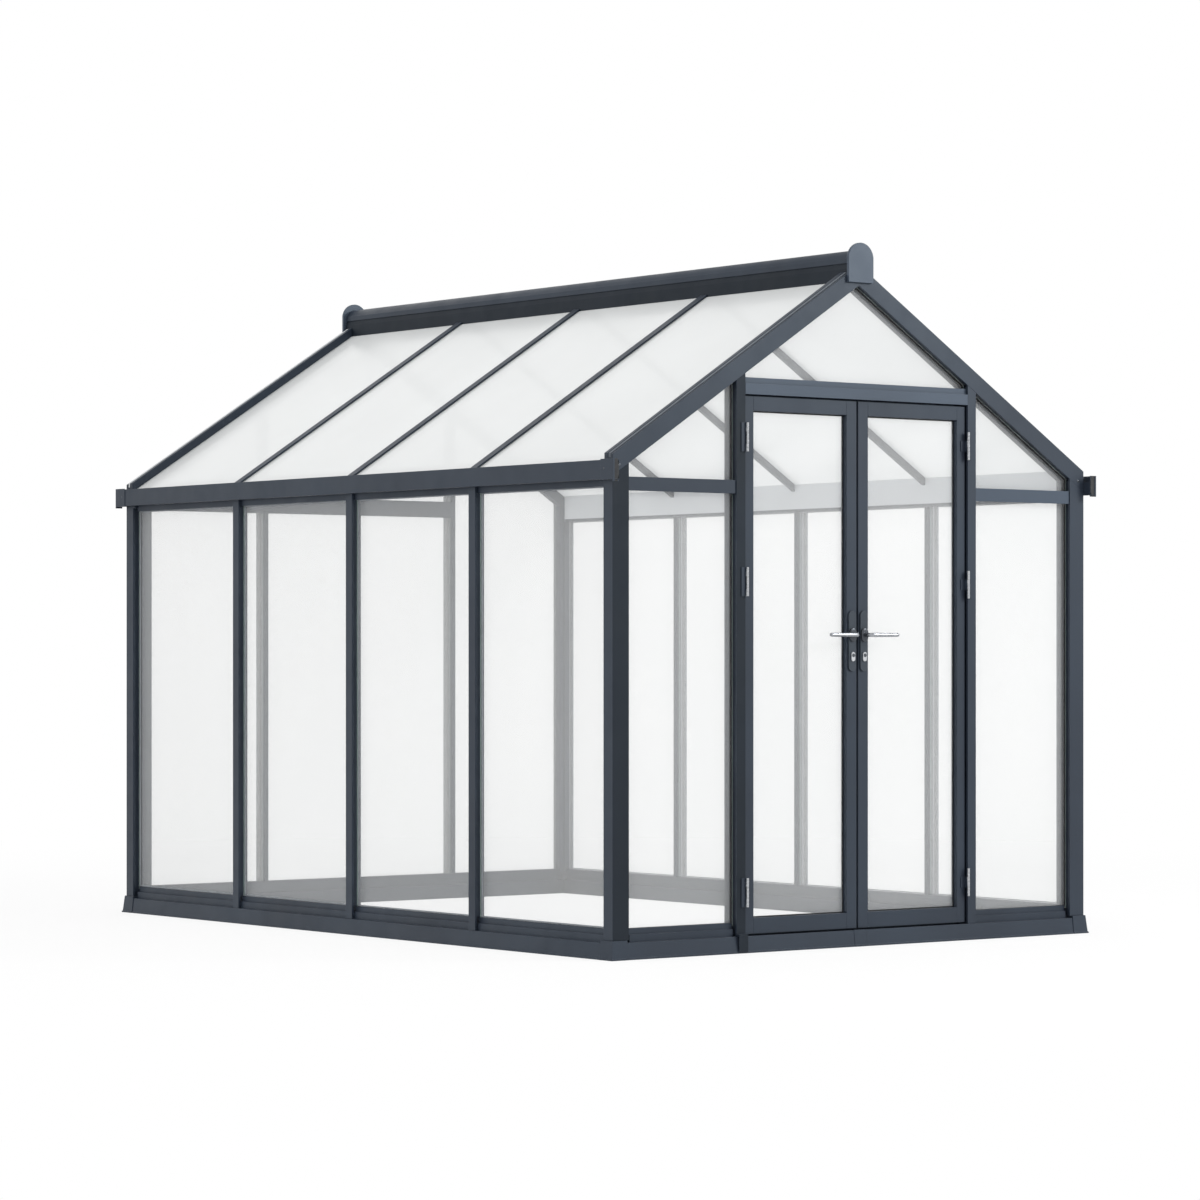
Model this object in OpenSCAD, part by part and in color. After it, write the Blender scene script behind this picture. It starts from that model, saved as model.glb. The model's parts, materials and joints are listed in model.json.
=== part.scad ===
// Glass greenhouse with an aluminium frame, a gable roof and double doors.
// Millimetres. +Z up, the doors face -Y, the ridge runs along Y, and the
// origin is on the ground in the middle of the plan.

/* [House] */
// width over the corner posts
width = 2200; // [1900:10:2700]
// length over the corner posts
length = 3180; // [2400:10:4400]
// height of the roof line above the outer face of the corner posts
eave_h = 1721; // [1640:1:1850]
// roof slope in degrees
pitch = 32.5; // [28:0.5:36]
// glazed bays in each long wall and roof slope
bays = 4; // [3:1:6]

/* [Glazing profiles] */
// depth of a profile from its outer face to its inner face
frame_d = 60; // [56:1:70]
// thickness of the outer cap of a profile
cap_t = 10; // [6:1:12]
// depth of the glass behind the outer face
glass_d = 30; // [24:1:34]
// glass thickness
glass_t = 4; // [3:1:6]
// width of a wall bar's cap
bar_w = 40; // [34:1:48]
// width of the neck between two panes
neck_w = 16; // [12:1:20]
// width of the inner leg of a wall bar
leg_w = 18; // [16:1:34]
// depth of a wall bar from its outer face to its inner face
bar_d = 48; // [46:1:56]
// width of a roof bar's cap
roof_bar_w = 38; // [28:1:48]

/* [Base] */
// height of the base rail
base_h = 58; // [50:1:62]
// height of the glazing sill on the base rail
sill_h = 104; // [98:1:112]
// spread of the base skirt beyond the posts
flare = 12; // [10:1:24]

/* [Corner posts] */
// face width of a corner post on the gable
post_w = 70; // [54:1:80]
// face width of a corner post on the long wall
post_side_w = 51; // [49:1:60]

/* [Doors] */
// half of the clear width between the door posts
door_half = 520; // [430:5:560]
// underside of the door header
header_z = 1931; // [1860:1:1945]
// gap between a leaf and the frame around it
leaf_gap = 6; // [5.5:0.5:8]
// gap between the two leaves
meet_gap = 8; // [7.5:0.5:10]
// thickness of a leaf
leaf_t = 30; // [28:1:34]
// depth of a leaf behind the face of the door posts
leaf_recess = 10; // [8:1:14]
// face width of a hinge stile
hinge_stile_w = 38; // [34:1:50]
// face width of a meeting stile
meet_stile_w = 46; // [42:1:56]
// face height of a leaf's top rail
top_rail_h = 50; // [40:1:60]
// face height of a leaf's bottom rail
bottom_rail_h = 55; // [45:1:70]

/* [Door furniture] */
// height of the lever spindle above the ground
lever_z = 1100; // [1000:5:1150]
// length of a lever grip
lever_len = 140; // [120:1:160]
// height of a lock plate
plate_h = 214; // [180:1:240]
// width of a lock plate
plate_w = 34; // [30:1:38]
// length of a hinge barrel
hinge_len = 100; // [80:1:120]

/* [Eaves and ridge] */
// outward reach of a gutter from the long wall
gutter_out = 26; // [21:1:50]
// reach of a gutter past each gable, end cap included
gutter_over = 38; // [30:1:60]
// width of the ridge beam
ridge_w = 96; // [80:2:110]
// height of the ridge beam above the roof line's apex
ridge_up = 38; // [34:1:50]

/* [Hidden] */

hw = width / 2;
hl = length / 2;
apex_z = eave_h + tan(pitch) * hw;
round_fn = 64;
frame_grey = [0.29, 0.32, 0.35];
glass_tint = [0.8, 0.88, 0.88, 0.35];
steel_grey = [0.75, 0.76, 0.78];

// glazing
glass_in = glass_d + glass_t;      // inner face of a pane, and the shoulder it rests on
slot = 0.4;                        // play in front of a pane in its channel
edge = 1;                          // play at the edge of a pane
seat = 0.1;                        // play over and under a roof pane
lap = 12;                          // reach of an inner flange past a post's cap
neck_in = 10;                      // step from a cap's edge back to its neck
pane_z = sill_h - 10;              // bottom edge of a pane in the sill channel
past = 100;                        // reach of a cutting shape past the part it trims

// corner posts
post_in = post_w + 11;             // inner flange on the gable side
post_side_in = post_side_w + 15;   // inner flange on the long wall side
post_step = 6;                     // cap on the long wall side past its neck
post_neck = post_side_w - post_step;
bar_pitch = (length - post_neck * 2 + neck_w) / bays; // bars stand this far apart

// base
block = frame_d;                   // plan size of a corner block inside the posts
block_up = 8;                      // rise of a corner block over the rails
block_out = 2;                     // a corner block stands this much prouder than the rails
skirt_lean = 9;                    // inward lean of the skirt from foot to top
lip_h = 5;                         // height of the lip at the foot of the skirt
lip_in = 3;                        // the skirt steps in over the lip by this much
lip_up = 2;                        // and rises by this much
step_h = 26;                       // height of the lower sill step
step_d = 12;                       // depth of the lower sill step
step_top_d = 20;                   // depth of the upper sill step
sill_d = 46;                       // inner face of the sill
joiner_w = 55;                     // length of the sleeve over the front rail's joint
joiner_t = 1;                      // thickness of that sleeve
joiner_in = 8;                     // reach of its top behind the gable face
foot_t = 3;                        // thickness of the left door post's cover foot
foot_z = 3;                        // foot clear of the ground

// eaves, measured down from eave_h
lip_z = eave_h - 122;              // underside of the eave beam
slot_h = 13;                       // height of the glass channel in the eave beam
gut_bot = eave_h - 100;            // underside of a gutter
gut_top = eave_h - 34;             // top edge of a gutter's fascia
beam_step = gut_bot + 4;           // the eave beam steps out to the full face here
gut_t = 3;                         // gutter wall
end_t = 6;                         // end plate of a gutter
end_recess = 3;                    // its face sits this far inside its rim
end_rim = 8;                       // width of that rim
sleeve_len = 70;                   // length of an end cap along the gutter
sleeve_t = 2;                      // wall of that sleeve
end_drop = 8;                      // an end plate hangs below the gutter by this much
end_up = 3;                        // and stands over its fascia by this much
end_in = 0;                        // it stops this far inside the wall face

// roof, p is measured square to the slope, down from the roof line
roof_p = 38;                       // outer face of the roof glass
roof_in = roof_p + glass_t;        // inner face of the roof glass
rafter_w = 62;                     // face width of a gable rafter
rafter_top = 12;                   // top edge of its face
rafter_face = rafter_top + rafter_w; // lower edge of its face
rafter_flange = rafter_face + lap; // inner flange of a gable rafter
rafter_neck = rafter_face - 8;     // neck and roof layers of a gable rafter
roof_cap = 30;                     // top of a roof bar's cap
roof_cap_t = 6;
roof_neck = 12;                    // width of a roof bar's neck
roof_leg = 20;                     // width of a roof bar's leg
roof_leg_p = 66;                   // underside of a roof bar's leg
fin = cap_t + 2;                   // outer fin of a rafter
groove = 14;                       // groove between the fin and the roof edge cap
groove_p = 22;
edge_cap = 20;                     // roof edge cap of a rafter
edge_cap_p = 8;
edge_seat = fin + groove + edge_cap - 4; // the roof glass stops here
glass_over = 12;                   // roof glass past the wall face
bar_over = 16;                     // roof bars past the wall face
gut_play = 2;                      // gutter's back wall under the roof glass

// ridge
ridge_hw = ridge_w / 2;
ridge_leg = 20;                    // half width of the leg between the two slopes
ridge_foot = 4;                    // the leg reaches this far below the roof glass
ridge_leg_z = apex_z - tan(pitch) * ridge_leg - roof_in / cos(pitch) - ridge_foot;
mitre = 0.1;                       // play where two slopes meet under that leg
pane_top = ridge_leg_z - edge;     // gable panes stop under the ridge
ridge_rise = 30;                   // rise of the rounded top
ridge_top = apex_z + ridge_up;
ridge_lean = 4;                    // the foot of each side spreads by this much
ridge_up_hw = ridge_hw - ridge_lean;
ridge_r = (ridge_up_hw * ridge_up_hw + ridge_rise * ridge_rise) / (2 * ridge_rise);
ridge_seam_z = ridge_top - ridge_rise - 18; // groove along each side
ridge_seam_h = 4;
ridge_seam_d = 3;
end_cap_hw = ridge_hw + 10;
end_cap_t = 11;
end_cap_rise = 50;
end_cap_top = ridge_top + 25;
end_cap_bot = apex_z - 78;
end_cap_r = (end_cap_hw * end_cap_hw + end_cap_rise * end_cap_rise) / (2 * end_cap_rise);

// doorway
post_cap = bar_w;                  // width of a door post's cap
dp_in = door_half;                 // inner edge of a door post's cap
dp_out = door_half + post_cap;
dp_step = 8;                       // a post's cap laps its neck by this much
dp_neck_in = dp_in + dp_step;
dp_neck_out = dp_out - dp_step;
dp_flange = dp_out + 6;            // its inner flange
stop_d = leaf_recess + leaf_t + 6; // door stop behind a leaf
stop_w = 15;                       // reach of the stop into the doorway
header_h = 38;
strip_h = 21;                      // glazing strip over the header
strip_bite = 12;                   // depth of the glass channel in that strip
header_top = header_z + header_h + strip_h;
door_z0 = base_h + leaf_gap;
door_z1 = header_z - leaf_gap;
leaf_x0 = meet_gap / 2;
leaf_x1 = door_half - leaf_gap;
groove_d = 9;                      // glass groove in stiles and rails
glass_bite = 8;
hinge_x = door_half - leaf_gap / 2;
hinge_d = -7;                      // hinge axis in front of the door post's face
hinge_r = 5;
hinge_tab = 22;                    // plate on the leaf's face
hinge_tab_t = 3;
hinge_plate = 16;                  // plate on the door post's face
hinge_mid = hinge_len * 0.38;      // length of the moving barrel
hinge_play = 0.5;
hinge_web = 5;                     // web between the moving barrel and the leaf
hinge_web_in = 2;                  // from the axis to that web
hinge_back = 2;                    // from a fixed barrel to the outside of its web
hinge_back_t = 3;
hinge_z = [header_z * 0.108, header_z * 0.664, header_z * 0.923];
spindle_x = leaf_x0 + meet_stile_w / 2;
plate_t = 6;
plate_z = lever_z - 22;            // middle of a lock plate
lever_r = 8;
lever_neck_r = 7;
lever_tail = 10;                   // the grip starts this far past its neck
lever_play = 0.3;
lever_out = 48;                    // reach of a lever in front of a leaf
cyl_drop = 77;
cyl_r = 8.5;
cyl_h = 16;
cyl_t = 11;

// transoms
transom_h = 47;
transom_z = lip_z + 10;            // middle height of a front transom
transom_neck = 20;
transom_leg = 28;
transom_d = 4;                     // a transom's cap sits behind the post caps
transom_in = bar_d;
back_bar_x = width * 0.2127;       // middle of a back bar from the centre line
back_transom_h = 66;
back_transom_z = lip_z + 40;

// height of the line p below the roof line, at distance x from the middle
function roof_z(x, p) = apex_z - tan(pitch) * x - p / cos(pitch);

// middle of bar k along the house, bars 0 and bays fall on the corner posts
function bar_y(k) = -hl + post_neck - neck_w / 2 + k * bar_pitch;

// a polygon in X and Z drawn out along Y
module prism_y(pts, y0, y1) {
    translate([0, y1, 0]) rotate([90, 0, 0]) linear_extrude(y1 - y0) polygon(pts);
}

// a polygon in Y and Z drawn out along X
module prism_x(pts, x0, x1) {
    translate([x0, 0, 0]) rotate([90, 0, 90]) linear_extrude(x1 - x0) polygon(pts);
}

module box(x0, x1, y0, y1, z0, z1) {
    translate([x0, y0, z0]) cube([x1 - x0, y1 - y0, z1 - z0]);
}

// one band of the roof slope on side s, between x0 and x1 and between p0 and p1
module band(s, x0, x1, p0, p1, y0, y1) {
    prism_y([[s * x0, roof_z(x0, p0)], [s * x1, roof_z(x1, p0)],
        [s * x1, roof_z(x1, p1)], [s * x0, roof_z(x0, p1)]], y0, y1);
}

// a band from x1 up to the ridge beam's leg, and on under that leg to the middle
module band_to_ridge(s, x1, p0, p1, y0, y1) {
    band(s, ridge_leg, x1, p0, p1, y0, y1);
    intersection() {
        band(s, mitre, ridge_leg, p0, p1, y0, y1);
        box(-ridge_leg, ridge_leg, y0, y1, 0, ridge_leg_z);
    }
}

// everything lower than the line p below the roof line
module under_roof(p, y0, y1) {
    x = hw + past;
    prism_y([[0, roof_z(0, p)], [x, roof_z(x, p)], [x, -past], [-x, -past],
        [-x, roof_z(x, p)]], y0, y1);
}

module both_sides() {
    children();
    mirror([1, 0, 0]) children();
}

module both_ends() {
    children();
    mirror([0, 1, 0]) children();
}

// ---- base ----

// skirt section: across the rail, and up
function skirt(out, h, depth) = [[-out, 0], [-out, lip_h], [-out + lip_in, lip_h + lip_up],
    [-out + skirt_lean, h], [depth, h], [depth, 0]];

// glazing sill section, o is the outer face of the wall it stands under
function sill_pts(o) = [[o + step_d, base_h], [o + step_d, base_h + step_h],
    [o + step_top_d, base_h + step_h], [o + step_top_d, sill_h],
    [o + glass_d - slot, sill_h], [o + glass_d - slot, pane_z],
    [o + glass_in, pane_z], [o + glass_in, sill_h],
    [o + sill_d, sill_h], [o + sill_d, base_h]];

module gable_rail() {
    prism_x([for (q = skirt(flare, base_h, frame_d)) [q[0] - hl, q[1]]],
        -hw + block, hw - block);
}

module base_rail_front() color(frame_grey) {
    gable_rail();
    both_sides() prism_x(sill_pts(-hl), dp_flange, hw - post_in);
    // door stop behind the foot of the leaves
    box(-dp_in + stop_w, dp_in - stop_w, -hl + stop_d, -hl + frame_d, base_h, base_h + stop_w);
}

module base_rail_back() color(frame_grey) mirror([0, 1, 0]) {
    gable_rail();
    prism_x(sill_pts(-hl), -hw + post_in, hw - post_in);
}

module base_rails_side() color(frame_grey) both_sides() {
    prism_y([for (q = skirt(flare, base_h, frame_d)) [q[0] - hw, q[1]]],
        -hl + block, hl - block);
    prism_y(sill_pts(-hw), -hl + post_side_in, hl - post_side_in);
}

module base_corners() color(frame_grey) both_sides() both_ends() intersection() {
    prism_x([for (q = skirt(flare + block_out, base_h + block_up, block)) [q[0] - hl, q[1]]],
        -hw - past, -hw + block);
    prism_y([for (q = skirt(flare + block_out, base_h + block_up, block)) [q[0] - hw, q[1]]],
        -hl - past, -hl + block);
}

module base_joiner() color(frame_grey) {
    o = -hl - flare;
    f = o - joiner_t;
    top_in = -hl + joiner_in;
    prism_x([[f, 0], [f, lip_h], [f + lip_in, lip_h + lip_up],
        [f + skirt_lean, base_h + joiner_t], [top_in, base_h + joiner_t],
        [top_in, base_h], [o + skirt_lean, base_h], [o + lip_in, lip_h + lip_up],
        [o, lip_h], [o, 0]], -joiner_w / 2, joiner_w / 2);
}

// ---- posts and bars ----

// corner post section, x and y run inwards from the two outer faces
module corner_post_front() {
    foot = base_h + block_up;
    intersection() {
        translate([-hw, -hl, foot]) linear_extrude(eave_h)
            polygon([[0, 0], [post_w, 0], [post_w, cap_t], [post_w - neck_in, cap_t],
                [post_w - neck_in, glass_in], [0, glass_in]]);
        under_roof(rafter_face, -hl - past, -hl + past);
    }
    intersection() {
        translate([-hw, -hl, foot]) linear_extrude(eave_h)
            polygon([[0, glass_in], [post_in, glass_in], [post_in, frame_d],
                [frame_d, frame_d], [frame_d, post_side_in], [glass_in, post_side_in],
                [glass_in, post_neck], [cap_t, post_neck], [cap_t, post_side_w],
                [0, post_side_w]]);
        under_roof(rafter_flange, -hl - past, -hl + past);
    }
    // head that the eave beam butts against
    intersection() {
        box(-hw, -hw + frame_d, -hl + glass_in, -hl + post_side_in, lip_z + slot_h,
            eave_h + past);
        under_roof(rafter_flange, -hl - past, -hl + past);
    }
}

module corner_posts_front() color(frame_grey) both_sides() corner_post_front();

module corner_posts_back() color(frame_grey) mirror([0, 1, 0]) both_sides()
    corner_post_front();

module wall_bars() {
    for (k = [1 : bays - 1]) {
        y = bar_y(k);
        box(-hw, -hw + cap_t, y - bar_w / 2, y + bar_w / 2, base_h, beam_step);
        box(-hw + cap_t, -hw + glass_in, y - neck_w / 2, y + neck_w / 2, sill_h, lip_z);
        box(-hw + glass_in, -hw + bar_d, y - leg_w / 2, y + leg_w / 2, sill_h, lip_z);
    }
}

module wall_bars_left() color(frame_grey) wall_bars();

module wall_bars_right() color(frame_grey) mirror([1, 0, 0]) wall_bars();

module eave_beam() {
    pts = [[step_d, lip_z], [glass_d - slot, lip_z], [glass_d - slot, lip_z + slot_h],
        [glass_in, lip_z + slot_h], [glass_in, lip_z], [frame_d, lip_z],
        [frame_d, roof_z(hw - frame_d, roof_in)], [0, roof_z(hw, roof_in)],
        [0, beam_step], [step_d, beam_step]];
    prism_y([for (q = pts) [q[0] - hw, q[1]]], -hl + post_side_in, hl - post_side_in);
}

module eave_beam_left() color(frame_grey) eave_beam();

module eave_beam_right() color(frame_grey) mirror([1, 0, 0]) eave_beam();

// ---- gutters ----

module gutter() {
    back_top = roof_z(hw + gut_t, roof_in) - gut_play;
    pts = [[0, gut_bot], [gutter_out, gut_bot], [gutter_out, gut_top],
        [gutter_out - gut_t, gut_top], [gutter_out - gut_t, gut_bot + gut_t],
        [gut_t, gut_bot + gut_t], [gut_t, back_top], [0, back_top]];
    y = hl + gutter_over - end_t;
    prism_y([for (q = pts) [-hw - q[0], q[1]]], -y, y);
}

module gutter_left() color(frame_grey) gutter();

module gutter_right() color(frame_grey) mirror([1, 0, 0]) gutter();

module gutter_end_caps() color(frame_grey) both_sides() both_ends() {
    y0 = -hl - gutter_over;
    x0 = -hw - gutter_out - sleeve_t;
    z0 = gut_bot - end_drop;
    z1 = gut_top + end_up;
    box(x0, -hw + end_in, y0 + end_recess, y0 + end_t, z0, z1);
    box(x0, x0 + end_rim, y0, y0 + end_recess, z0, z1);
    box(x0, -hw - gutter_out, y0, y0 + sleeve_len, gut_bot - sleeve_t, z1);
    box(x0, -hw - 1, y0, y0 + sleeve_len - sleeve_t * 2, gut_bot - sleeve_t, gut_bot);
}

// ---- roof ----

// half of the section, from the leg up to the shoulder of the rounded top
function ridge_side(s) = [[s * ridge_leg, ridge_leg_z], [s * ridge_leg, roof_z(ridge_leg, roof_p)],
    [s * ridge_hw, roof_z(ridge_hw, roof_p)], [s * ridge_hw, roof_z(ridge_hw, 0)],
    [s * ridge_up_hw, ridge_seam_z - ridge_seam_h],
    [s * (ridge_up_hw - ridge_seam_d), ridge_seam_z - ridge_seam_h],
    [s * (ridge_up_hw - ridge_seam_d), ridge_seam_z], [s * ridge_up_hw, ridge_seam_z],
    [s * ridge_up_hw, ridge_top - ridge_rise]];

module ridge_beam() color(frame_grey) {
    left = ridge_side(-1);
    prism_y(concat(ridge_side(1), [for (i = [len(left) - 1 : -1 : 0]) left[i]]), -hl, hl);
    intersection() {
        translate([0, hl, ridge_top - ridge_r]) rotate([90, 0, 0])
            cylinder(r = ridge_r, h = length, $fn = round_fn);
        box(-ridge_up_hw, ridge_up_hw, -hl, hl, ridge_top - ridge_rise - 1, ridge_top + 1);
    }
}

module ridge_end_caps() color(frame_grey) both_ends() {
    shoulder = end_cap_top - end_cap_rise;
    y0 = -hl - end_cap_t;
    box(-end_cap_hw, end_cap_hw, y0, -hl, end_cap_bot, shoulder);
    intersection() {
        translate([0, -hl, end_cap_top - end_cap_r]) rotate([90, 0, 0])
            cylinder(r = end_cap_r, h = end_cap_t, $fn = round_fn);
        box(-end_cap_hw, end_cap_hw, y0, -hl, shoulder - 1, end_cap_top + 1);
    }
}

// a layer of a gable rafter, d0 to d1 behind the gable face
module rafter_layer(p0, p1, d0, d1) {
    if (p0 < roof_p)
        band(-1, ridge_hw, hw, p0, min(p1, roof_p), -hl + d0, -hl + d1);
    if (p1 > roof_p)
        band_to_ridge(-1, hw, max(p0, roof_p), p1, -hl + d0, -hl + d1);
}

module rafter() {
    g1 = fin + groove;
    rafter_layer(rafter_top, rafter_face, 0, cap_t);
    rafter_layer(rafter_top, rafter_neck, cap_t, fin);
    rafter_layer(groove_p, rafter_neck, fin, g1);
    rafter_layer(edge_cap_p, rafter_neck, g1, glass_in);
    rafter_layer(edge_cap_p, rafter_flange, glass_in, edge_seat);
    rafter_layer(edge_cap_p, roof_p - slot, edge_seat, g1 + edge_cap);
    rafter_layer(roof_in, rafter_flange, edge_seat, frame_d);
}

module rafters_front() color(frame_grey) both_sides() rafter();

module rafters_back() color(frame_grey) mirror([0, 1, 0]) both_sides() rafter();

module roof_bars(s) {
    for (k = [1 : bays - 1]) {
        y = bar_y(k);
        band(s, ridge_hw, hw + bar_over, roof_cap, roof_cap + roof_cap_t,
            y - roof_bar_w / 2, y + roof_bar_w / 2);
        band(s, ridge_hw, hw + glass_over, roof_cap + roof_cap_t, roof_in,
            y - roof_neck / 2, y + roof_neck / 2);
        band_to_ridge(s, hw - frame_d, roof_in, roof_leg_p,
            y - roof_leg / 2, y + roof_leg / 2);
    }
}

module roof_bars_left() color(frame_grey) roof_bars(-1);

module roof_bars_right() color(frame_grey) roof_bars(1);

// ---- gable members ----

module door_post() {
    intersection() {
        union() {
            box(-dp_out, -dp_in, -hl, -hl + cap_t, base_h, apex_z);
            box(-dp_neck_out, -dp_neck_in, -hl + cap_t, -hl + glass_in, base_h, apex_z);
        }
        under_roof(rafter_face, -hl - past, -hl + past);
    }
    intersection() {
        box(-dp_flange, -dp_neck_in, -hl + glass_in, -hl + frame_d, base_h, apex_z);
        under_roof(rafter_flange, -hl - past, -hl + past);
    }
    box(-dp_neck_in, -dp_in + stop_w, -hl + stop_d, -hl + frame_d, base_h,
        header_z - stop_w);
}

// the left post's cap runs on down over the base skirt
module door_posts() color(frame_grey) {
    both_sides() door_post();
    box(-dp_out, -dp_in, -hl - flare - foot_t, -hl, base_h, base_h + block_up);
    box(-dp_out, -dp_in, -hl - flare - foot_t, -hl - flare, foot_z, base_h + block_up);
}

module door_header() color(frame_grey) {
    x1 = dp_in;
    x2 = dp_neck_in;
    box(-x1, x1, -hl, -hl + cap_t, header_z, header_z + header_h);
    box(-x2, x2, -hl + cap_t, -hl + glass_d - slot, header_z, header_top);
    box(-x2, x2, -hl + glass_d - slot, -hl + glass_in, header_z, header_top - strip_bite);
    intersection() {
        box(-x2, x2, -hl + glass_in, -hl + frame_d, header_z, header_top);
        under_roof(rafter_flange, -hl - past, -hl + past);
    }
    box(-x2, x2, -hl + stop_d, -hl + frame_d, header_z - stop_w, header_z);
}

module transom(x0, x1, x2, x3, z, h) {
    box(x0, x1, -hl + transom_d, -hl + cap_t, z - h / 2, z + h / 2);
    box(x0 - neck_in, x1 + dp_step, -hl + cap_t, -hl + glass_in, z - transom_neck / 2,
        z + transom_neck / 2);
    box(x2, x3, -hl + glass_in, -hl + transom_in, z - transom_leg / 2,
        z + transom_leg / 2);
}

module front_transoms() color(frame_grey) both_sides()
    transom(-hw + post_w, -dp_out, -hw + post_in, -dp_flange, transom_z, transom_h);

module back_bars() color(frame_grey) mirror([0, 1, 0]) both_sides() {
    x = -back_bar_x;
    intersection() {
        union() {
            box(x - bar_w / 2, x + bar_w / 2, -hl, -hl + cap_t, base_h, apex_z);
            box(x - neck_w / 2, x + neck_w / 2, -hl + cap_t, -hl + glass_in, sill_h, apex_z);
        }
        under_roof(rafter_face, -hl - past, -hl + past);
    }
    intersection() {
        box(x - leg_w / 2, x + leg_w / 2, -hl + glass_in, -hl + bar_d, sill_h, apex_z);
        under_roof(rafter_flange, -hl - past, -hl + past);
    }
}

// glazing behind these two is split at the transom
module back_transom(x0, x1, x2, x3, n0, n1) {
    z = back_transom_z;
    h = back_transom_h / 2;
    intersection() {
        box(x0, x1, -hl + transom_d, -hl + cap_t, z - h, z + h);
        under_roof(rafter_face, -hl - past, -hl + past);
    }
    box(n0, n1, -hl + cap_t, -hl + glass_in, z - transom_neck / 2, z + transom_neck / 2);
    intersection() {
        box(x2, x3, -hl + glass_in, -hl + transom_in, z - h, z + h);
        under_roof(rafter_flange, -hl - past, -hl + past);
    }
}

module back_transoms() color(frame_grey) mirror([0, 1, 0]) {
    b = back_bar_x;
    back_transom(-hw + post_w, -b - bar_w / 2, -hw + post_in, -b - leg_w / 2,
        -hw + post_w - neck_in, -b - neck_w / 2);
    back_transom(-b + bar_w / 2, b - bar_w / 2, -b + leg_w / 2, b - leg_w / 2,
        -b + neck_w / 2, b - neck_w / 2);
}

// ---- glass ----

module wall_glass() {
    for (k = [0 : bays - 1]) {
        box(-hw + glass_d, -hw + glass_in, bar_y(k) + neck_w / 2 + edge,
            bar_y(k + 1) - neck_w / 2 - edge, pane_z, lip_z + slot_h - edge);
    }
}

module glass_wall_left() color(glass_tint) wall_glass();

module glass_wall_right() color(glass_tint) mirror([1, 0, 0]) wall_glass();

module roof_glass(s) {
    for (k = [0 : bays - 1]) {
        y0 = (k == 0 ? -hl + edge_seat : bar_y(k) + roof_neck / 2) + edge;
        y1 = (k == bays - 1 ? hl - edge_seat : bar_y(k + 1) - roof_neck / 2) - edge;
        band(s, ridge_leg + edge, hw + glass_over, roof_p + seat, roof_in - seat, y0, y1);
    }
}

module glass_roof_left() color(glass_tint) roof_glass(-1);

module glass_roof_right() color(glass_tint) roof_glass(1);

// a gable pane from x0 to x1 and from z0 up to z1 or to the rafters
module gable_pane(x0, x1, z0, z1) {
    intersection() {
        box(x0, x1, -hl + glass_d, -hl + glass_in, z0, z1);
        under_roof(rafter_neck + edge, -hl - past, -hl + past);
    }
}

module glass_front() color(glass_tint) {
    n = transom_neck / 2 + edge;
    x0 = -hw + post_w - neck_in + edge;
    both_sides() {
        gable_pane(x0, -dp_neck_out - edge, pane_z, transom_z - n);
        gable_pane(x0, -dp_neck_out - edge, transom_z + n, pane_top);
    }
    gable_pane(-dp_neck_in + edge, dp_neck_in - edge, header_top - strip_bite + edge, pane_top);
}

module glass_back() color(glass_tint) mirror([0, 1, 0]) {
    b = back_bar_x;
    e = neck_w / 2 + edge;
    n = transom_neck / 2 + edge;
    x0 = -hw + post_w - neck_in + edge;
    z = back_transom_z;
    gable_pane(x0, -b - e, pane_z, z - n);
    gable_pane(x0, -b - e, z + n, pane_top);
    gable_pane(-b + e, b - e, pane_z, z - n);
    gable_pane(-b + e, b - e, z + n, pane_top);
    gable_pane(b + e, -x0, pane_z, pane_top);
}

// ---- doors, drawn for the left leaf ----

function groove_pts(w) = [[0, 0], [w, 0], [w, glass_d - slot - leaf_recess],
    [w - groove_d, glass_d - slot - leaf_recess], [w - groove_d, glass_in - leaf_recess],
    [w, glass_in - leaf_recess], [w, leaf_t], [0, leaf_t]];

module leaf_stiles() {
    y = -hl + leaf_recess;
    translate([-leaf_x1, y, door_z0]) linear_extrude(door_z1 - door_z0)
        polygon(groove_pts(hinge_stile_w));
    translate([-leaf_x0, y, door_z0]) linear_extrude(door_z1 - door_z0)
        polygon([for (q = groove_pts(meet_stile_w)) [-q[0], q[1]]]);
}

module leaf_rails() {
    x0 = -leaf_x1 + hinge_stile_w;
    x1 = -leaf_x0 - meet_stile_w;
    y = -hl + leaf_recess;
    prism_x([for (q = groove_pts(bottom_rail_h)) [y + q[1], door_z0 + q[0]]], x0, x1);
    prism_x([for (q = groove_pts(top_rail_h)) [y + q[1], door_z1 - q[0]]], x0, x1);
}

module leaf_glass() {
    box(-leaf_x1 + hinge_stile_w - glass_bite, -leaf_x0 - meet_stile_w + glass_bite,
        -hl + glass_d, -hl + glass_in, door_z0 + bottom_rail_h - glass_bite,
        door_z1 - top_rail_h + glass_bite);
}

module barrel(z, h) {
    translate([-hinge_x, -hl + hinge_d, z - h / 2])
        cylinder(r = hinge_r, h = h, $fn = round_fn);
}

// moving half of each hinge: middle barrel, web and plate on the leaf's face
module leaf_hinges() {
    face = -hl + leaf_recess;
    x = -hinge_x + hinge_web_in;
    for (z = hinge_z) {
        barrel(z, hinge_mid);
        box(x, x + hinge_web, -hl + hinge_d, face, z - hinge_mid / 2, z + hinge_mid / 2);
        box(x, x + hinge_tab, face - hinge_tab_t, face, z - hinge_mid / 2, z + hinge_mid / 2);
    }
}

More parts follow.
